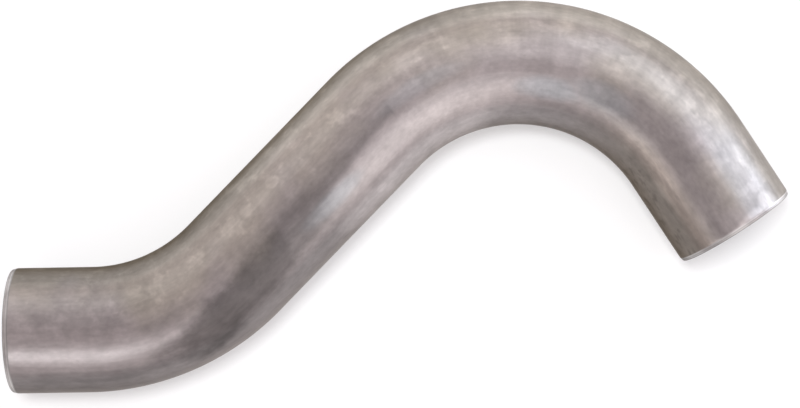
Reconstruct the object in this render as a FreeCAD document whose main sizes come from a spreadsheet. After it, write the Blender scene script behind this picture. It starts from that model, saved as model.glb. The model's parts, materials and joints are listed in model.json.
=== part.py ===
"""Tailpipe: one length of round steel exhaust tube, bent twice in one plane and open at both mouths.

The pipe lies flat on its side, as it comes to rest. The origin is the centre of the inlet mouth, +X runs along
the inlet's axis into the pipe, both bends lie in the XY plane and +Z is up. Lengths are in millimetres and
angles in degrees.
"""

import FreeCAD
import Part
import Sketcher
import math
import os

NODE = "tailpipe"

# Driving sizes: the tube, its two bends from one bending die, its three straight legs and the bevel round a rim
SIZES = {
    "outer_diameter": 63.5,
    "wall_thickness": 1.65,
    "bend_radius": 101.6,
    "inlet_length": 40.0,
    "first_bend_angle": 45.0,
    "middle_length": 103.0,
    "second_bend_angle": 102.5,
    "outlet_length": 46.0,
    "bevel_length": 2.4,
    "bevel_depth": 0.6,
}

# The share by which the swept tube's volume may differ from its section's area times its axis
VOLUME_SLACK = 1e-4

# Ends of a line or an arc in a sketch, and the centre of a circle
START = 1
END = 2
CENTRE = 3

# The sketch's own origin, as an element with one point
SKETCH_ORIGIN = -1

# The side to which a bend turns, seen from above by someone who follows the gas
LEFT = 1
RIGHT = -1

UP = FreeCAD.Vector(0, 0, 1)


def make_sheet(doc):
    """Writes the driving sizes to a sheet, each under its own alias."""
    sheet = doc.addObject("Spreadsheet::Sheet", "sizes")
    for row, (alias, value) in enumerate(SIZES.items(), start=1):
        sheet.set(f"A{row}", alias)
        sheet.set(f"B{row}", str(value))
        sheet.setAlias(f"B{row}", alias)
    doc.recompute()
    return sheet


def add_sketch(body, name, plane):
    """Adds an empty sketch on one of the body's own origin planes."""
    planes = {feature.Role: feature for feature in body.Origin.OriginFeatures}
    sketch = body.newObject("Sketcher::SketchObject", name)
    sketch.AttachmentSupport = [(planes[plane], "")]
    sketch.MapMode = "FlatFace"
    return sketch


def bind(sketch, name, constraint, expression):
    """Adds a named constraint to the sketch and binds its value to the sheet."""
    index = sketch.addConstraint(constraint)
    sketch.renameConstraint(index, name)
    sketch.setExpression(f"Constraints.{name}", expression)


def direction(heading):
    """The unit vector of a heading in the bend plane."""
    angle = math.radians(heading)
    return FreeCAD.Vector(math.cos(angle), math.sin(angle), 0)


def draw_leg(sketch, sheet, start, heading, length_name):
    """Draws a straight leg of the tube's axis, and returns it with the point where it ends."""
    length = sheet.get(length_name)
    end = start + direction(heading) * length
    leg = sketch.addGeometry(Part.LineSegment(start, end))
    bind(sketch, length_name, Sketcher.Constraint("Distance", leg, length), f"sizes.{length_name}")
    return leg, end


def draw_bend(sketch, sheet, start, heading, side, angle_name):
    """Draws a bend of the tube's axis, and returns it with the point and the heading where it ends.

    A sketch's arcs run anticlockwise, so the tube enters a left bend at the arc's start and a right bend at its end.
    """
    radius = sheet.get("bend_radius")
    angle = sheet.get(angle_name)
    centre = start + direction(heading + side * 90) * radius
    entry = heading - side * 90
    leave = entry + side * angle
    low, high = sorted((math.radians(entry), math.radians(leave)))
    bend = sketch.addGeometry(Part.ArcOfCircle(Part.Circle(centre, UP, radius), low, high))
    bind(sketch, angle_name, Sketcher.Constraint("Angle", bend, high - low), f"sizes.{angle_name} * 1 deg")
    return bend, centre + direction(leave) * radius, heading + side * angle


def draw_axis(body, sheet):
    """The tube's axis: inlet leg, left bend, middle leg, right bend and outlet leg, each tangent to the next."""
    sketch = add_sketch(body, "tube_axis", "XY_Plane")
    inlet, point = draw_leg(sketch, sheet, FreeCAD.Vector(), 0, "inlet_length")
    first, point, heading = draw_bend(sketch, sheet, point, 0, LEFT, "first_bend_angle")
    middle, point = draw_leg(sketch, sheet, point, heading, "middle_length")
    second, point, heading = draw_bend(sketch, sheet, point, heading, RIGHT, "second_bend_angle")
    outlet, point = draw_leg(sketch, sheet, point, heading, "outlet_length")

    sketch.addConstraint(Sketcher.Constraint("Coincident", inlet, START, SKETCH_ORIGIN, START))
    sketch.addConstraint(Sketcher.Constraint("Horizontal", inlet))
    sketch.addConstraint(Sketcher.Constraint("Tangent", inlet, END, first, START))
    sketch.addConstraint(Sketcher.Constraint("Tangent", first, END, middle, START))
    sketch.addConstraint(Sketcher.Constraint("Tangent", middle, END, second, END))
    sketch.addConstraint(Sketcher.Constraint("Tangent", second, START, outlet, START))
    radius = Sketcher.Constraint("Radius", first, sheet.get("bend_radius"))
    bind(sketch, "bend_radius", radius, "sizes.bend_radius")
    sketch.addConstraint(Sketcher.Constraint("Equal", first, second))
    return sketch


def draw_section(body, sheet):
    """The tube's section at the inlet mouth: two circles round the axis."""
    sketch = add_sketch(body, "tube_section", "YZ_Plane")
    outside = sheet.get("outer_diameter")
    inside = outside - 2 * sheet.get("wall_thickness")
    circles = {
        "outside": (outside, "sizes.outer_diameter"),
        "inside": (inside, "sizes.outer_diameter - 2 * sizes.wall_thickness"),
    }
    for name, (diameter, expression) in circles.items():
        circle = sketch.addGeometry(Part.Circle(FreeCAD.Vector(), UP, diameter / 2))
        sketch.addConstraint(Sketcher.Constraint("Coincident", circle, CENTRE, SKETCH_ORIGIN, START))
        bind(sketch, name, Sketcher.Constraint("Diameter", circle, diameter), expression)
    return sketch


def sweep_tube(body, section, axis):
    """Sweeps the section along the axis."""
    tube = body.newObject("PartDesign::AdditivePipe", "bent_tube")
    tube.Profile = section
    tube.Spine = axis
    return tube


def rim_edges(shape, radius):
    """The names of the outer edges of the two flat mouths."""
    names = []
    for number, edge in enumerate(shape.Edges, start=1):
        on_mouth = any(isinstance(face.Surface, Part.Plane) for face in shape.ancestorsOfType(edge, Part.Face))
        is_outer = isinstance(edge.Curve, Part.Circle) and math.isclose(edge.Curve.Radius, radius, rel_tol=1e-6)
        if on_mouth and is_outer:
            names.append(f"Edge{number}")
    return names


def bevel_rims(body, sheet, tube):
    """Grinds a shallow bevel round the outside of both mouths, longer along the tube than it is deep."""
    bevel = body.newObject("PartDesign::Chamfer", "rim_bevel")
    bevel.Base = (tube, rim_edges(tube.Shape, sheet.get("outer_diameter") / 2))
    bevel.ChamferType = "Two distances"
    bevel.setExpression("Size", "sizes.bevel_length")
    bevel.setExpression("Size2", "sizes.bevel_depth")
    return bevel


def check_tube(section, axis, tube):
    """Stops the build if the swept tube doesn't hold its section's area all along its axis."""
    outer, inner = sorted((edge.Curve.Radius for edge in section.Shape.Edges), reverse=True)
    expected = math.pi * (outer**2 - inner**2) * axis.Shape.Length
    if not math.isclose(tube.Shape.Volume, expected, rel_tol=VOLUME_SLACK):
        raise RuntimeError(f"the tube holds {tube.Shape.Volume:.1f} mm3, not {expected:.1f} mm3")


def check_document(doc, body):
    """Stops the build if a feature failed or the finished shape isn't one valid solid."""
    for item in doc.Objects:
        if {"Invalid", "Error"} & set(item.State):
            raise RuntimeError(f"{item.Label} failed: {item.State}")
    shape = body.Shape
    if shape.isNull() or not shape.isValid() or len(shape.Solids) != 1:
        raise RuntimeError(f"{body.Label} isn't one valid solid")


def main():
    doc = FreeCAD.newDocument("tailpipe")
    sheet = make_sheet(doc)
    body = doc.addObject("PartDesign::Body", NODE)
    body.Label = NODE
    body.Placement = FreeCAD.Placement()
    axis = draw_axis(body, sheet)
    section = draw_section(body, sheet)
    tube = sweep_tube(body, section, axis)
    doc.recompute()
    check_tube(section, axis, tube)
    bevel_rims(body, sheet, tube)
    doc.recompute()
    check_document(doc, body)
    os.makedirs("parts", exist_ok=True)
    body.Shape.exportStep(f"parts/{body.Label}.step")
    box = body.Shape.optimalBoundingBox()
    print(f"{body.Label}: {box.XLength:.2f} x {box.YLength:.2f} x {box.ZLength:.2f} mm, {body.Shape.Volume:.1f} mm3")


main()
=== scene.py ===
"""A bare steel tailpipe lying on a pale floor, seen from above.

Everything is in metres, in the part's own frame: the origin is the centre of the inlet mouth, +X runs
along the inlet's axis into the pipe, both bends lie in the XY plane and +Z is up.
"""

import json
import math

import bpy
import numpy as np
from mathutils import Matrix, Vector


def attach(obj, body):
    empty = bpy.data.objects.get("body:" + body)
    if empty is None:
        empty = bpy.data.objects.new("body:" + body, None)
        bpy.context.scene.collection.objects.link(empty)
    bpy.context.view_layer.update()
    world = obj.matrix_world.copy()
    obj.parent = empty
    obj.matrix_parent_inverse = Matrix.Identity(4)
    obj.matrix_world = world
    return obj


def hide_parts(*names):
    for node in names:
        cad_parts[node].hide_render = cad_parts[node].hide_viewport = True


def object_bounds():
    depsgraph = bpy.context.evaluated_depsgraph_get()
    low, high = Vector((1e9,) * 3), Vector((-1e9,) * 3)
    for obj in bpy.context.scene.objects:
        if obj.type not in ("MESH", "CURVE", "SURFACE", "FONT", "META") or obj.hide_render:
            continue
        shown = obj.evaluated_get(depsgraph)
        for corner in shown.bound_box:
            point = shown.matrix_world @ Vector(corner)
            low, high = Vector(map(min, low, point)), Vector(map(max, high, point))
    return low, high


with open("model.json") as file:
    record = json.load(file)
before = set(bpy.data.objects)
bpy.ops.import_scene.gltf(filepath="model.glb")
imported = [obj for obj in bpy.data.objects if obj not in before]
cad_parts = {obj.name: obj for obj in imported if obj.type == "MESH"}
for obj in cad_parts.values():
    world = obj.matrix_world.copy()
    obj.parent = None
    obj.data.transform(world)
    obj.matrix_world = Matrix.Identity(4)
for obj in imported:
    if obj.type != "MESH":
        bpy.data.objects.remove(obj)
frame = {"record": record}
cad_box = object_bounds()

NODE = "tailpipe"
BODY = "root"
MOUNTS = {mount["name"]: mount for mount in frame["record"]["mounts"]}

# In a metre
MILLIMETRES = 1000

# The tube: its ends come from the mounts, and its two bends share one radius
OUTER_RADIUS = MOUNTS["inlet_spigot"]["dims"]["r_mm"] / MILLIMETRES
INNER_RADIUS = MOUNTS["inlet_bore"]["dims"]["r_mm"] / MILLIMETRES
INLET_LENGTH = MOUNTS["inlet_bore"]["dims"]["length_mm"] / MILLIMETRES
OUTLET_LENGTH = MOUNTS["outlet_bore"]["dims"]["length_mm"] / MILLIMETRES
BEVEL_LENGTH = INLET_LENGTH - MOUNTS["inlet_spigot"]["dims"]["length_mm"] / MILLIMETRES
BEVEL_DEPTH = 0.0006
RIM_SOFTNESS = 0.0003
BEND_RADIUS = 0.1016
FIRST_BEND = math.radians(45)
OUTLET_HEADING = math.atan2(MOUNTS["outlet_bore"]["axis"][1], MOUNTS["outlet_bore"]["axis"][0])
SECOND_BEND = FIRST_BEND - OUTLET_HEADING

# The mesh: points round the tube, and the step between rings outside and inside
POINTS_ROUND = 192
OUTER_STEP = 0.002
INNER_STEP = 0.006

# The finishes, in the order of the tube's material slots
OUTSIDE, RIM, BORE = range(3)

# The camera: straight above, a little turned, at the photograph's distance
IMAGE_WIDTH = 800
CAMERA_PLACE = (0.1969, 0.0611, 0.99)
CAMERA_TURN = math.radians(-0.95)
CAMERA_LENS_PIXELS = 1950
SENSOR_WIDTH = 36

# Colours of the steel, and of its edges at a glance
MAUVE_GREY = (0.505, 0.465, 0.462, 1)
BEIGE_SCALE = (0.520, 0.478, 0.430, 1)
# Next: the tint of painted blue grey reflections
BLUE_REFLECTION = (0.50, 0.51, 0.53, 1)
BROWN_GRIME = (0.47, 0.41, 0.345, 1)
RUBBED_TAN = (0.63, 0.575, 0.51, 1)
GROUND_STEEL = (0.66, 0.64, 0.63)
MILL_SCALE = (0.30, 0.275, 0.265)
DARK_EDGE = (0.28, 0.25, 0.21, 1)
BRIGHT_EDGE = (0.76, 0.74, 0.73, 1)
GROUND_EDGE = (0.3, 0.29, 0.28, 1)
BORE_EDGE = (0.2, 0.19, 0.18, 1)

# The heights, in millimetres above the axis, between which the marks of the upper side come in
UPPER_SIDE = (4, 18)

# Large painted dark reflections: centre (along the tube, to its left) and half size in millimetres, and
# slant
DARK_REFLECTION_OVAL = ((121, -14.5), (43, 12), 0.10)
# The crown next to the outlet: a painted dark reflection
PAINTED_CROWN_SHADE = ((405, -9), (60, 11), -0.05)

# Smaller marks: centre and half size in millimetres, and strength
# Painted shade that dims reflections
PAINTED_SHADE_PATCHES = (
    ((42, -22), (44, 2.8), 0.55),
    ((46, 11), (38, 13), 0.5),
    ((82, -3), (18, 4), 0.45),
    ((352, -15), (28, 5), 0.55),
    ((381, 15), (8, 4), 0.4),
    ((433, 21), (32, 2.6), 0.65),
    ((446, -13), (9, 4), 0.45),
)
# Painted blue grey reflections
BLUE_REFLECTION_PATCHES = (
    ((180, -13), (18, 4), 0.8),
    ((250, 0), (22, 4), 0.45),
    ((320, -14), (18, 5), 0.9),
    ((350, -10), (18, 6), 0.7),
    ((428, 13), (26, 9), 0.4),
    ((450, 12), (9, 9), 0.45),
)
# Pale spots, some of them real and some painted highlights
PALE_SPOTS_AND_HIGHLIGHTS = (
    ((28, -14.5), (24, 2.5), 0.6),
    ((40, 21), (3, 3), 0.8),
    ((83, -11), (6, 2.5), 0.8),
    ((98, -22), (6, 3), 1.0),
    ((147, 14), (3, 3), 0.8),
    ((166, 15), (3.5, 2.5), 1.0),
    ((185, 23), (5, 2), 1.0),
    ((202, -26), (3, 1.5), 1.0),
    ((205, 22), (34, 4.5), 1.0),
    ((290, -5), (22, 4), 0.6),
    ((300, 19.5), (4, 3), 0.9),
    ((302, -21.5), (13, 4), 0.8),
    ((312, 19.5), (36, 5), 0.8),
    ((330, 11.5), (5, 4), 0.9),
    ((371, 12), (6, 4), 0.9),
    ((406, -17), (11, 3.5), 1.0),
    ((420, 18), (6, 3), 1.0),
)
# Painted highlights next to the outlet
PAINTED_HIGHLIGHT_PATCHES = (
    ((424, 17), (26, 7), 0.48),
    ((447, 16.5), (7, 5), 1.0),
    ((450.5, 9), (5, 13), 1.0),
)

# What each kind of mark multiplies the steel's colour by; painted shade darkens it, painted highlights
# lighten it
DARK_REFLECTION_SHADE = 0.35
CROWN_SHADE = 0.78
SPECK_SHADE = 1.18
PAINTED_HIGHLIGHT = 1.5
PAINTED_SHADE = 0.62
PALE_SPOT_AND_HIGHLIGHT_LIFT = 1.18
TAN_HIGHLIGHT_LIFT = 1.34
GRIT_SHADE = 0.78

# How far grime and tan cover the colour under them
GRIME_COVER = 0.7
TAN_COVER = 0.65

# Roughness: the outside's least, what is added to it, and that of the other finishes
LEAST_ROUGHNESS = 0.29
BLOTCH_ROUGHNESS = 0.14
DARK_REFLECTION_ROUGHNESS = 0.08
OUTLET_ROUGHNESS = 0.10
RIM_ROUGHNESS = 0.40
BORE_ROUGHNESS = 0.55
FLOOR_ROUGHNESS = 0.9

# The floor: its colour and reach, how much of its white is its own, and how bright that is
FLOOR_WHITE = (0.9, 0.9, 0.9, 1)
FLOOR_REACH = 6.0
FLOOR_LIFT = 0.3
FLOOR_GLOW = 1.1

# The light: the studio's own, and the colours of its lamps
STUDIO = (0.515, 0.46, 0.465, 1)
BEIGE = (0.98, 1.0, 0.89)
WARM = (1.0, 0.94, 0.89)
PLAIN = (0.97, 0.99, 1.0)
COOL = (0.77, 0.86, 1.0)

# The lamps: name, place, the point they face, size, power and colour
MIDDLE = (0.2, 0.05, 0)
MIRRORED_LAMPS = (
    ("overhead", (0.45, 0.5, 1.25), MIDDLE, (0.9, 0.7), 1.0, PLAIN),
    ("upper_left_box", (-0.38, 0.63, 0.55), MIDDLE, (0.8, 0.6), 0.5, PLAIN),
    ("upper_box", (0.2, 0.92, 0.55), MIDDLE, (0.9, 0.7), 0.7, BEIGE),
    ("upper_right_box", (0.812, 0.662, 0.5), MIDDLE, (0.6, 0.6), 1.05, COOL),
    ("right_box", (0.95, 0.33, 0.75), MIDDLE, (0.5, 0.5), 0.85, COOL),
    ("right_panel", (1.05, 0.30, 0.11), (0.3, 0.1, 0.05), (0.4, 0.27), 0.85, COOL),
    ("lower_left_box", (-0.07, -0.58, 0.57), MIDDLE, (0.42, 0.24), 0.54, PLAIN),
    ("lower_right_box", (0.582, -0.611, 0.477), MIDDLE, (0.5, 0.7), 0.5, WARM),
    ("near_right_box", (0.45, -0.19, 0.34), (0.23, 0.13, 0), (0.30, 0.45), 0.28, PLAIN),
)
SHADOW_LAMP = ("shadow_key", (0.075, 0.23, 1.4), MIDDLE, (0.28, 0.28), 11.5, PLAIN)


def middle_length():
    """The straight leg between the bends, from where the outlet's mouth lies."""
    mouth = Vector(MOUNTS["outlet_bore"]["pos_m"]).to_2d()
    first = Vector((math.sin(FIRST_BEND), 1 - math.cos(FIRST_BEND))) * BEND_RADIUS
    second = Vector((
        math.sin(FIRST_BEND) - math.sin(OUTLET_HEADING),
        math.cos(OUTLET_HEADING) - math.cos(FIRST_BEND),
    )) * BEND_RADIUS
    outlet = Vector((math.cos(OUTLET_HEADING), math.sin(OUTLET_HEADING))) * OUTLET_LENGTH
    rest = mouth - Vector((INLET_LENGTH, 0)) - first - second - outlet
    return rest.dot(Vector((math.cos(FIRST_BEND), math.sin(FIRST_BEND))))


# The axis as stretches of (length, curvature), where a left turn is positive
STRETCHES = (
    (INLET_LENGTH, 0),
    (BEND_RADIUS * FIRST_BEND, 1 / BEND_RADIUS),
    (middle_length(), 0),
    (BEND_RADIUS * SECOND_BEND, -1 / BEND_RADIUS),
    (OUTLET_LENGTH, 0),
)
AXIS_LENGTH = sum(length for length, _ in STRETCHES)

# How far the outer side of each stretch is drawn in at its middle
BEND_FLATTENING = (0, 0.0003, 0, 0.0009, 0)


def axis_at(along):
    """The axis's x, y and heading at each length from the inlet mouth."""
    x = np.zeros_like(along)
    y = np.zeros_like(along)
    heading = np.zeros_like(along)
    start = 0
    for length, curvature in STRETCHES:
        part = np.clip(along - start, 0, length)
        turned = heading + curvature * part
        if curvature:
            x += (np.sin(turned) - np.sin(heading)) / curvature
            y += (np.cos(heading) - np.cos(turned)) / curvature
        else:
            x += np.cos(heading) * part
            y += np.sin(heading) * part
        heading = turned
        start += length
    return x, y, heading


def drawn_in(along, angle):
    """How far the tube's wall is drawn in: each bend flattens a little on its outer side."""
    depth = np.zeros_like(along)
    start = 0
    for (length, curvature), amount in zip(STRETCHES, BEND_FLATTENING):
        share = np.clip((along - start) / length, 0, 1)
        facing_out = np.clip(-np.sign(curvature) * np.cos(angle), 0, 1)
        depth += amount * np.sin(math.pi * share) * facing_out**2
        start += length
    return depth


def rim_profile():
    """(distance from the mouth, radius) pairs round a rim, from the outside to the bore."""
    slope = BEVEL_DEPTH / BEVEL_LENGTH
    soft = RIM_SOFTNESS
    edge = OUTER_RADIUS - BEVEL_DEPTH
    return [
        (BEVEL_LENGTH + 3 * soft, OUTER_RADIUS),
        (BEVEL_LENGTH + soft, OUTER_RADIUS),
        (BEVEL_LENGTH, OUTER_RADIUS - 0.3 * soft * slope),
        (BEVEL_LENGTH - soft, OUTER_RADIUS - soft * slope),
        (BEVEL_LENGTH / 2, OUTER_RADIUS - BEVEL_DEPTH / 2),
        (soft, edge + soft * slope),
        (soft / 3, edge - soft / 4),
        (0, edge - soft),
        (0, INNER_RADIUS + soft),
        (soft / 3, INNER_RADIUS + soft / 4),
        (soft, INNER_RADIUS),
    ]


def tube_rings():
    """(length along the axis, radius) of every ring, out along the outside and back along the bore."""
    rim = rim_profile()
    rim_length = rim[0][0]
    outside = np.arange(rim_length + OUTER_STEP, AXIS_LENGTH - rim_length - OUTER_STEP / 2, OUTER_STEP)
    inside = np.arange(AXIS_LENGTH - INNER_STEP, INNER_STEP / 2, -INNER_STEP)
    rings = [(along, OUTER_RADIUS) for along in outside]
    rings += [(AXIS_LENGTH - distance, radius) for distance, radius in rim]
    rings += [(along, INNER_RADIUS) for along in inside]
    rings += [(distance, radius) for distance, radius in reversed(rim)]
    return np.array(rings)


def ring_finishes(rings):
    """Which finish the band after each ring has."""
    following = np.roll(rings, -1, axis=0)
    radius = np.maximum(rings[:, 1], following[:, 1])
    to_end = np.minimum(rings[:, 0], AXIS_LENGTH - rings[:, 0])
    bore = radius <= INNER_RADIUS + RIM_SOFTNESS / 2
    return np.where(bore, BORE, np.where(to_end <= BEVEL_LENGTH, RIM, OUTSIDE))


def tube_mesh():
    """One closed mesh of the tube, which keeps each point's place on the straightened tube."""
    rings = tube_rings()
    count = len(rings)
    along = np.repeat(rings[:, 0], POINTS_ROUND)
    angle = np.tile(np.arange(POINTS_ROUND) * 2 * math.pi / POINTS_ROUND, count)
    radius = np.repeat(rings[:, 1], POINTS_ROUND) - drawn_in(along, angle)
    x, y, heading = axis_at(along)
    side = radius * np.cos(angle)
    height = radius * np.sin(angle)
    points = np.column_stack((x - np.sin(heading) * side, y + np.cos(heading) * side, height))

    ring = np.arange(count)[:, None] * POINTS_ROUND
    following = np.roll(ring, -1, axis=0)
    here = np.arange(POINTS_ROUND)
    beside = np.roll(here, -1)
    faces = np.stack((ring + here, ring + beside, following + beside, following + here), axis=-1)

    mesh = bpy.data.meshes.new("tailpipe_tube")
    mesh.from_pydata(points.tolist(), [], faces.reshape(-1, 4).tolist())
    straight = mesh.attributes.new("straight", "FLOAT_VECTOR", "POINT")
    straight.data.foreach_set("vector", np.column_stack((along, side, height)).ravel())
    mesh.polygons.foreach_set("material_index", np.repeat(ring_finishes(rings), POINTS_ROUND))
    mesh.polygons.foreach_set("use_smooth", np.ones(len(mesh.polygons), bool))
    mesh.validate()
    mesh.update()
    return mesh


class Recipe:
    """One material's nodes, put together step by step.

    Lengths in it are millimetres on the straightened tube, but for the depth of a relief.
    """

    def __init__(self, name):
        self.material = bpy.data.materials.new(name)
        self.material.use_nodes = True
        self.tree = self.material.node_tree
        self.shader = self.tree.nodes["Principled BSDF"]

    def node(self, kind, **settings):
        made = self.tree.nodes.new(kind)
        for name, value in settings.items():
            setattr(made, name, value)
        return made

    def feed(self, socket, value):
        if isinstance(value, bpy.types.NodeSocket):
            self.tree.links.new(value, socket)
        else:
            socket.default_value = value

    def place(self):
        """Where on the straightened tube: along it, to its left and up."""
        source = self.node("ShaderNodeAttribute", attribute_name="straight")
        return self.stretch(source.outputs["Vector"], (MILLIMETRES, MILLIMETRES, MILLIMETRES))

    def stretch(self, vector, factors):
        made = self.node("ShaderNodeVectorMath", operation="MULTIPLY")
        self.feed(made.inputs[0], vector)
        self.feed(made.inputs[1], factors)
        return made.outputs[0]

    def split(self, vector):
        made = self.node("ShaderNodeSeparateXYZ")
        self.feed(made.inputs[0], vector)
        return made.outputs["X"], made.outputs["Y"], made.outputs["Z"]

    def noise(self, vector, size, detail=2.0, roughness=0.5):
        """Noise from about 0 to 1 whose features are about this size."""
        made = self.node("ShaderNodeTexNoise")
        self.feed(made.inputs["Vector"], vector)
        self.feed(made.inputs["Scale"], 1 / size)
        self.feed(made.inputs["Detail"], detail)
        self.feed(made.inputs["Roughness"], roughness)
        return made.outputs["Fac"]

    def math(self, how, first, second=0.0, third=0.0):
        made = self.node("ShaderNodeMath", operation=how)
        self.feed(made.inputs[0], first)
        self.feed(made.inputs[1], second)
        self.feed(made.inputs[2], third)
        return made.outputs[0]

    def times(self, *values):
        result = values[0]
        for value in values[1:]:
            result = self.math("MULTIPLY", result, value)
        return result

    def ease(self, value, low, high, from_value=0.0, to_value=1.0):
        """A soft step: from_value at low, to_value at high, and level beyond either."""
        made = self.node("ShaderNodeMapRange", interpolation_type="SMOOTHSTEP")
        self.feed(made.inputs["Value"], value)
        self.feed(made.inputs["From Min"], low)
        self.feed(made.inputs["From Max"], high)
        self.feed(made.inputs["To Min"], from_value)
        self.feed(made.inputs["To Max"], to_value)
        return made.outputs["Result"]

    def mix_value(self, factor, first, second):
        return self.math("MULTIPLY_ADD", self.math("SUBTRACT", second, first), factor, first)

    def between(self, value, low, high, soft):
        """1 between low and high, with soft ends."""
        rise = self.ease(value, low - soft, low + soft)
        fall = self.ease(value, high - soft, high + soft, 1.0, 0.0)
        return self.times(rise, fall)

    def swing(self, noise, amount):
        """A factor that goes this far either side of 1 with the noise."""
        return self.math("MULTIPLY_ADD", noise, 4 * amount, 1 - 2 * amount)

    def centred(self, noise, amount):
        """The noise's distance from its middle, times this amount."""
        return self.math("MULTIPLY_ADD", noise, amount, -amount / 2)

    def line(self, value, slope, zero):
        """A straight line with this slope that is 0 at one value."""
        return self.math("MULTIPLY_ADD", value, slope, -slope * zero)

    def patch(self, point, centre, size, slant, wobble):
        """A soft slanted oval on the upper side, with an uneven edge."""
        along, left, height = point
        forward = self.math("SUBTRACT", along, centre[0])
        middle = self.math("MULTIPLY_ADD", forward, slant, centre[1])
        first = self.math("DIVIDE", forward, size[0])
        second = self.math("DIVIDE", self.math("SUBTRACT", left, middle), size[1])
        reach = self.math("ADD", self.times(first, first), self.times(second, second))
        uneven = self.math("ADD", reach, wobble)
        return self.times(self.ease(uneven, 0.0, 2.0, 1.0, 0.0), self.ease(height, *UPPER_SIDE))

    def patches(self, point, marks, wobble):
        """All the ovals in a list of (centre, size, strength)."""
        together = 0.0
        for centre, size, strength in marks:
            oval = self.patch(point, centre, size, 0.0, wobble)
            together = self.math("MAXIMUM", together, self.times(oval, strength))
        return together

    def mix(self, factor, first, second):
        made = self.node("ShaderNodeMix", data_type="RGBA")
        in_use = [socket for socket in made.inputs if socket.enabled]
        factor_socket = next(socket for socket in in_use if socket.name == "Factor")
        ends = [socket for socket in made.inputs if socket.type == "RGBA"]
        self.feed(factor_socket, factor)
        self.feed(ends[0], first)
        self.feed(ends[1], second)
        return next(socket for socket in made.outputs if socket.type == "RGBA")

    def shaded(self, colour, factor):
        made = self.node("ShaderNodeVectorMath", operation="SCALE")
        self.feed(made.inputs[0], colour)
        self.feed(made.inputs["Scale"], factor)
        return made.outputs[0]

    def relief(self, height, depth, strength):
        made = self.node("ShaderNodeBump")
        self.feed(made.inputs["Height"], height)
        self.feed(made.inputs["Distance"], depth)
        self.feed(made.inputs["Strength"], strength)
        self.feed(self.shader.inputs["Normal"], made.outputs["Normal"])

    def metal(self, colour, roughness, edge_tint):
        self.feed(self.shader.inputs["Base Color"], colour)
        self.feed(self.shader.inputs["Metallic"], 1.0)
        self.feed(self.shader.inputs["Roughness"], roughness)
        self.feed(self.shader.inputs["Specular Tint"], edge_tint)
        return self.material


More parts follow.
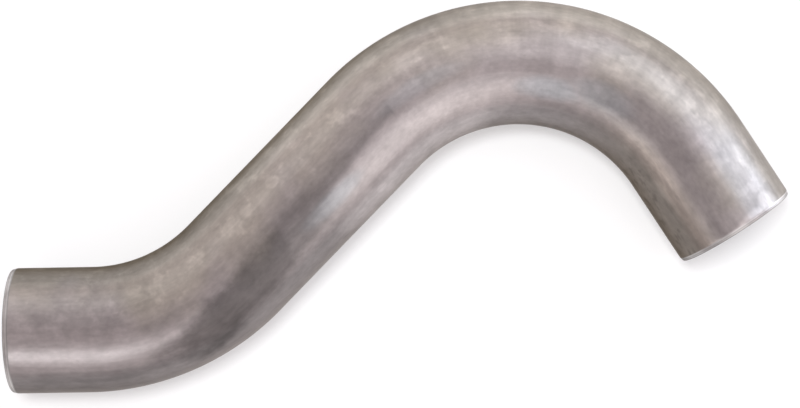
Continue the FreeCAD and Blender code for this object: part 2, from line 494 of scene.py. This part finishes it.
class DrawnSteel(Recipe):
    """The outside: bare drawn tube, blotched, brushed lengthways, with painted reflections, shade and
    highlights.
    """

    def __init__(self):
        super().__init__("drawn_steel")
        self.spot = self.place()
        self.point = self.split(self.spot)
        self.along, self.left, self.height = self.point
        self.blotches = self.noise(self.spot, size=42)
        self.mottle = self.noise(self.spot, size=10, detail=3.0, roughness=0.55)
        brushed = self.stretch(self.spot, (0.07, 1, 1))
        self.lengthways = self.noise(brushed, size=2.6, detail=3.0, roughness=0.6)
        self.wobble = self.centred(self.mottle, 0.8)
        self.dark_reflection = self.painted_dark_reflection()
        self.tan_and_highlight = self.tan_streaks_and_highlight()

    def finished(self):
        colour = self.shaded(self.colour(), self.shade())
        height = self.math("ADD", self.lengthways, self.times(self.mottle, 1.5))
        self.relief(height, depth=0.00012, strength=0.5)
        return self.metal(colour, self.uneven_roughness(), self.edge_tint())

    def colour(self):
        """Mauve grey and beige scale, with painted blue grey reflections, and grime and tan next to the
        outlet.
        """
        blue_reflections = self.patches(self.point, BLUE_REFLECTION_PATCHES, self.wobble)
        near_outlet = self.ease(self.along, 320, 410)
        inner_side = self.ease(self.left, -10, -22)
        colour = self.mix(blue_reflections, self.scale_colour(), BLUE_REFLECTION)
        colour = self.mix(self.times(near_outlet, inner_side, GRIME_COVER), colour, BROWN_GRIME)
        return self.mix(self.times(self.tan_and_highlight, TAN_COVER), colour, RUBBED_TAN)

    def scale_colour(self):
        """Beige mostly on the left of the flow, mauve grey on the right and next to the inlet."""
        grey_inlet = self.ease(self.along, 10, 90, -0.22, -0.02)
        lean = self.math("MULTIPLY_ADD", self.left, 0.012, grey_inlet)
        beige = self.ease(self.math("ADD", self.blotches, lean), 0.35, 0.75)
        return self.mix(beige, MAUVE_GREY, BEIGE_SCALE)

    def painted_dark_reflection(self):
        """Painted dark reflection, from the first bend to the second."""
        bend_with_tail = self.math("MAXIMUM", self.bend_dark_reflection(), self.dark_reflection_tail())
        return self.math("MAXIMUM", bend_with_tail, self.crown_dark_reflection())

    def bend_dark_reflection(self):
        """Painted dark reflection on the outer side of the first bend, mostly kept off the tube's flank."""
        oval = self.patch(self.point, *DARK_REFLECTION_OVAL, self.wobble)
        flank = self.ease(self.along, 90, 112, -32, -22.5)
        off_flank = self.ease(self.math("SUBTRACT", self.left, flank), -4, 4, 0.35, 1.0)
        return self.times(oval, off_flank)

    def dark_reflection_tail(self):
        """The painted dark reflection's tail, which fades out along the middle leg."""
        fading = self.ease(self.along, 155, 205, 0.8, 0.0)
        across = self.between(self.left, -20, -6, soft=3)
        start = self.ease(self.along, 120, 150)
        on_top = self.ease(self.height, *UPPER_SIDE)
        return self.times(fading, across, start, on_top)

    def crown_dark_reflection(self):
        """Painted dark reflection along the crown of the middle leg, with a sudden end just past it."""
        steep_edge = self.line(self.along, slope=0.2, zero=236)
        gentle_edge = self.line(self.along, slope=0.1, zero=280)
        edge = self.math("MINIMUM", steep_edge, gentle_edge)
        ragged_edge = self.math("MULTIPLY_ADD", self.mottle, 1.5, edge)
        right_edge = self.ease(self.math("SUBTRACT", self.left, ragged_edge), -3.5, 2.5)
        left_edge = self.ease(self.left, -4, 9, 1.0, 0.0)
        start = self.ease(self.along, 110, 165)
        end = self.ease(self.along, 232, 234.5, 1.0, 0.0)
        fading = self.ease(self.along, 150, 215, 0.72, 0.5)
        on_top = self.ease(self.height, 0, 8)
        return self.times(right_edge, left_edge, start, end, fading, on_top)

    def pale_specks(self):
        """Pale specks, mostly on the left of the flow."""
        specks = self.noise(self.spot, size=13, detail=3.0, roughness=0.65)
        mostly_left = self.ease(self.left, -14, 14, 0.25, 1.0)
        return self.times(self.ease(specks, 0.48, 0.68), mostly_left)

    def stretch_marks(self):
        """A factor with faint rings round the outer side of the second bend."""
        hoops = self.noise(self.stretch(self.spot, (1, 0.12, 0.12)), size=4.5)
        second_bend = self.between(self.along, 235, 400, soft=20)
        outer_side = self.ease(self.left, -6, 12)
        marks = self.math("SUBTRACT", self.swing(hoops, 0.12), 1.0)
        return self.math("MULTIPLY_ADD", self.times(second_bend, outer_side), marks, 1.0)

    def tan_streaks_and_highlight(self):
        """Tan streaks on the inner side next to the outlet, which also carry a painted highlight."""
        streaks = self.noise(self.stretch(self.spot, (0.25, 1, 1)), size=3.5, detail=3.0)
        streaked = self.mix_value(self.ease(streaks, 0.35, 0.7), 0.4, 1.0)
        near_outlet = self.between(self.along, 372, 430, soft=20)
        inner_side = self.between(self.left, -25, -17, soft=3)
        return self.times(near_outlet, inner_side, streaked)

    def grit(self):
        """Dark grit low on the inner side next to the outlet."""
        grains = self.noise(self.stretch(self.spot, (0.5, 1, 1)), size=3.2)
        near_outlet = self.ease(self.along, 355, 395)
        low_inside = self.ease(self.left, -23, -28)
        return self.times(near_outlet, low_inside, self.ease(grains, 0.5, 0.66))

    def unshaded_right_side(self):
        """The right side of the middle leg, left out of the painted flank shade, up to a slanted end on the
        arch.
        """
        slanted = self.math("MULTIPLY_ADD", self.left, -2.0, self.along)
        start = self.ease(self.along, 135, 195)
        end = self.ease(slanted, 322, 382, 1.0, 0.0)
        right_side = self.ease(self.left, -4, -14)
        dim_edge = self.ease(self.left, -27, -19, 0.88, 1.0)
        return self.times(start, end, right_side, dim_edge)

    def painted_flank_shade(self):
        """Painted shade that darkens both low sides, but for the right side of the middle leg."""
        left_low = self.times(
            self.ease(self.along, 120, 190, 0.53, 0.66),
            self.ease(self.along, 265, 310, 1.0, 1.3),
            self.ease(self.along, 360, 420, 1.0, 0.85),
        )
        right_low = self.times(
            self.ease(self.along, 40, 100, 0.44, 0.54),
            self.ease(self.along, 300, 420, 1.0, 0.75),
        )
        left_flank = self.ease(self.height, 17.5, 25, left_low, 1.0)
        # Painted light: the lowest strip on the right is lighter before the arch
        right_edge = self.ease(self.height, 6, 14, self.ease(self.along, 230, 330, 1.3, 1.0), 1.0)
        right_flank = self.times(self.ease(self.height, 19, 27, right_low, 1.0), right_edge)
        shaded_flanks = self.mix_value(self.ease(self.left, -4, 4), right_flank, left_flank)
        return self.math("MAXIMUM", shaded_flanks, self.unshaded_right_side())

    def shade(self):
        """Everything that lightens or darkens the colour, as one factor."""
        grain = self.noise(self.stretch(self.spot, (0.6, 1, 1)), size=2.0)
        ragged = self.centred(self.mottle, 2.4)
        # The dark reflection, crown and shade patches are painted shade; highlight patches, some pale ones
        # and the tan's lift are painted highlights
        marks = (
            (self.dark_reflection, DARK_REFLECTION_SHADE),
            (self.patch(self.point, *PAINTED_CROWN_SHADE, self.wobble), CROWN_SHADE),
            (self.pale_specks(), SPECK_SHADE),
            (self.patches(self.point, PAINTED_HIGHLIGHT_PATCHES, self.wobble), PAINTED_HIGHLIGHT),
            (self.patches(self.point, PAINTED_SHADE_PATCHES, self.wobble), PAINTED_SHADE),
            (self.patches(self.point, PALE_SPOTS_AND_HIGHLIGHTS, ragged), PALE_SPOT_AND_HIGHLIGHT_LIFT),
            (self.tan_and_highlight, TAN_HIGHLIGHT_LIFT),
            (self.grit(), GRIT_SHADE),
        )
        return self.times(
            self.swing(self.mottle, 0.12),
            self.swing(self.lengthways, 0.06),
            self.swing(grain, 0.08),
            *[self.ease(mark, 0, 1, 1.0, shade) for mark, shade in marks],
            self.stretch_marks(),
            self.painted_flank_shade(),
        )

    def uneven_roughness(self):
        """Rougher where the dark reflection is painted, and on the left next to the outlet."""
        uneven = self.math("MULTIPLY_ADD", self.blotches, BLOTCH_ROUGHNESS, LEAST_ROUGHNESS)
        smudged = self.math("ADD", uneven, self.times(self.dark_reflection, DARK_REFLECTION_ROUGHNESS))
        near_outlet = self.ease(self.along, 365, 420)
        left_side = self.ease(self.left, 2, 12)
        return self.math("MULTIPLY_ADD", self.times(near_outlet, left_side), OUTLET_ROUGHNESS, smudged)

    def edge_tint(self):
        """Bare edges darken at a glance, least on the left next to the outlet."""
        bright_arch = self.ease(self.along, 200, 310, 0.0, 0.55)
        bright_outlet = self.ease(self.along, 390, 425, 0.0, 0.45)
        bright_end = self.math("ADD", bright_arch, bright_outlet)
        bright_left = self.times(self.ease(self.left, 4, 12), bright_end)
        bright_right = self.times(self.ease(self.left, 2, -8), self.ease(self.along, 260, 340, 0.5, 0.3))
        return self.mix(self.math("ADD", bright_left, bright_right), DARK_EDGE, BRIGHT_EDGE)


def ground_rim():
    """The bevelled rims: freshly ground, with fine lines round them."""
    recipe = Recipe("ground_rim")
    place = recipe.place()
    lines = recipe.noise(recipe.stretch(place, (1, 0.03, 0.03)), size=0.35, detail=1.0)
    chatter = recipe.noise(place, size=5)
    along, left, _ = recipe.split(place)
    to_outlet = recipe.math("SUBTRACT", AXIS_LENGTH * MILLIMETRES, along)
    from_mouth = recipe.math("MINIMUM", along, to_outlet)
    dark_edge = recipe.ease(from_mouth, 0.1, 0.7, 0.55, 1.0)
    dark_foot = recipe.ease(from_mouth, 1.9, 2.4, 1.0, 0.62)
    from_line = recipe.math("ABSOLUTE", recipe.math("SUBTRACT", from_mouth, 1.1))
    dark_line = recipe.ease(from_line, 0.1, 0.35, 0.75, 1.0)

    # Painted light and shade on the outlet's rim: lighter on the left, darker on the right
    outlet = recipe.ease(along, 100, 300)
    outlet_rim_light = recipe.mix_value(outlet, 1.0, recipe.ease(left, -10, 8, 0.72, 1.35))
    shade = recipe.times(
        recipe.swing(lines, 0.10),
        recipe.swing(chatter, 0.12),
        dark_edge,
        dark_foot,
        dark_line,
        outlet_rim_light,
    )
    recipe.relief(lines, depth=0.00005, strength=0.4)
    return recipe.metal(recipe.shaded(GROUND_STEEL, shade), RIM_ROUGHNESS, GROUND_EDGE)


def bore_scale():
    """The inside: dull mill scale."""
    recipe = Recipe("bore_scale")
    place = recipe.place()
    mottle = recipe.noise(place, size=9, detail=3.0, roughness=0.6)
    lengthways = recipe.noise(recipe.stretch(place, (0.08, 1, 1)), size=3)
    shade = recipe.times(recipe.swing(mottle, 0.16), recipe.swing(lengthways, 0.12))
    recipe.relief(mottle, depth=0.0002, strength=0.4)
    return recipe.metal(recipe.shaded(MILL_SCALE, shade), BORE_ROUGHNESS, BORE_EDGE)


def add_object(name, data):
    item = bpy.data.objects.new(name, data)
    bpy.context.scene.collection.objects.link(item)
    return item


def build_tube():
    tube = add_object("tailpipe_tube", tube_mesh())
    for finish in (DrawnSteel().finished(), ground_rim(), bore_scale()):
        tube.data.materials.append(finish)
    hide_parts(NODE)
    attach(tube, BODY)


def floor_material():
    """A matt white sheet that keeps the tube's shadow, lifted towards white where it is seen or mirrored."""
    recipe = Recipe("pale_floor")
    recipe.feed(recipe.shader.inputs["Base Color"], FLOOR_WHITE)
    recipe.feed(recipe.shader.inputs["Roughness"], FLOOR_ROUGHNESS)
    recipe.feed(recipe.shader.inputs["Specular IOR Level"], 0.0)
    rays = recipe.node("ShaderNodeLightPath")
    seen = recipe.math("MAXIMUM", rays.outputs["Is Camera Ray"], rays.outputs["Is Glossy Ray"])
    seen = recipe.math("MAXIMUM", seen, rays.outputs["Is Transmission Ray"])
    white = recipe.node("ShaderNodeEmission")
    recipe.feed(white.inputs["Strength"], FLOOR_GLOW)
    both = recipe.node("ShaderNodeMixShader")
    recipe.feed(both.inputs[0], recipe.times(seen, FLOOR_LIFT))
    recipe.feed(both.inputs[1], recipe.shader.outputs[0])
    recipe.feed(both.inputs[2], white.outputs[0])
    recipe.feed(recipe.tree.nodes["Material Output"].inputs["Surface"], both.outputs[0])
    return recipe.material


def build_floor():
    level = cad_box[0].z
    sides = ((-1, -1), (1, -1), (1, 1), (-1, 1))
    mesh = bpy.data.meshes.new("floor")
    mesh.from_pydata([(x * FLOOR_REACH, y * FLOOR_REACH, level) for x, y in sides], [], [(0, 1, 2, 3)])
    floor = add_object("floor", mesh)
    mesh.materials.append(floor_material())


def area_light(name, place, target, size, power, colour):
    data = bpy.data.lights.new(name, "AREA")
    data.shape = "RECTANGLE"
    data.size, data.size_y = size
    data.energy = power
    data.color = colour
    lamp = add_object(name, data)
    lamp.location = place
    lamp.rotation_euler = (Vector(target) - Vector(place)).to_track_quat("-Z", "Y").to_euler()
    return lamp


def light_studio():
    """Lamps that the steel mirrors, one that only throws the shadow, and an even light all round."""
    for lamp in MIRRORED_LAMPS:
        area_light(*lamp)
    area_light(*SHADOW_LAMP).visible_glossy = False
    world = bpy.data.worlds.new("studio")
    bpy.context.scene.world = world
    world.use_nodes = True
    world.node_tree.nodes["Background"].inputs["Color"].default_value = STUDIO


def place_camera():
    data = bpy.data.cameras.new("camera")
    data.sensor_width = SENSOR_WIDTH
    data.lens = CAMERA_LENS_PIXELS * SENSOR_WIDTH / IMAGE_WIDTH
    camera = add_object("camera", data)
    camera.location = CAMERA_PLACE
    camera.rotation_euler = (0, 0, CAMERA_TURN)
    bpy.context.scene.camera = camera


build_tube()
build_floor()
light_studio()
place_camera()
bpy.context.scene.view_settings.view_transform = "Standard"
